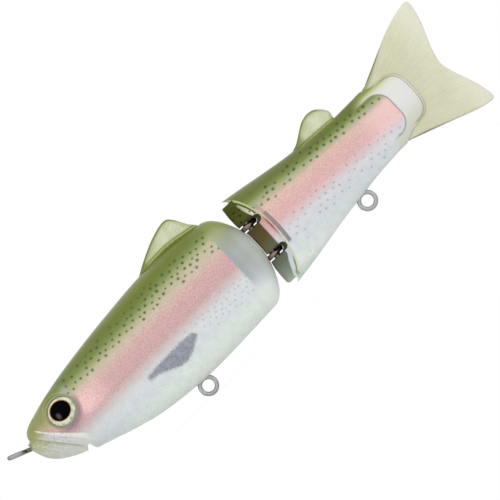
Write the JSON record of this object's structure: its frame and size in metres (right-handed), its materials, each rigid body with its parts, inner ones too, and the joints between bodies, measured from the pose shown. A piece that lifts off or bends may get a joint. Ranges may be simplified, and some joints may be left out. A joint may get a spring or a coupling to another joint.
{
  "type": "swimbait",
  "caption": "Hard two-section fishing lure shaped like a slim fish, with a pinned V joint, wire eyes for line and hooks, soft fins and a pull-out tail.",
  "frame": {"origin": "centre of the line tie's wire eye, ahead of the snout in the midplane", "axes": "+X from the snout towards the tail, +Z towards the fish's back, -Y the fish's left flank; the hinge pin runs along Z"},
  "size_m": [0.1849, 0.0234, 0.0489],
  "materials": {
    "front_shell": "gloss clear coat over a painted fish pattern",
    "rear_shell": "gloss clear coat over a painted fish pattern",
    "wire": "drawn stainless wire",
    "pin": "ground stainless pin",
    "eye_foil": "printed pearl foil",
    "eye_dome": "clear domed resin",
    "fin": "soft translucent elastomer",
    "tail": "soft translucent elastomer",
    "ballast": "plain slug"
  },
  "bodies": {
    "front": {"front_shell_left": "front_shell", "front_shell_right": "front_shell", "line_tie": "wire", "front_hook_hanger": "wire", "upper_hinge_eye": "wire", "lower_hinge_eye": "wire", "eye_foil_left": "eye_foil", "eye_foil_right": "eye_foil", "eye_dome_left": "eye_dome", "eye_dome_right": "eye_dome", "dorsal_fin": "fin", "fore_ballast": "ballast", "aft_ballast": "ballast"},
    "rear": {"rear_shell_left": "rear_shell", "rear_shell_right": "rear_shell", "hinge_pin": "pin", "rear_hook_hanger": "wire", "adipose_fin": "fin", "rear_ballast": "ballast"},
    "tail": {"tail_fin": "tail"}
  },
  "joints": [
    {"name": "body_hinge", "type": "hinge", "parent": "front", "child": "rear", "pos_m": [0.09948, 0, 0], "axis": [0, 0, 1], "range_deg": [-55, 55]},
    {"name": "tail_pull", "type": "slide", "parent": "rear", "child": "tail", "axis": [1, 0, 0], "range_m": [0, 0.014]}
  ]
}
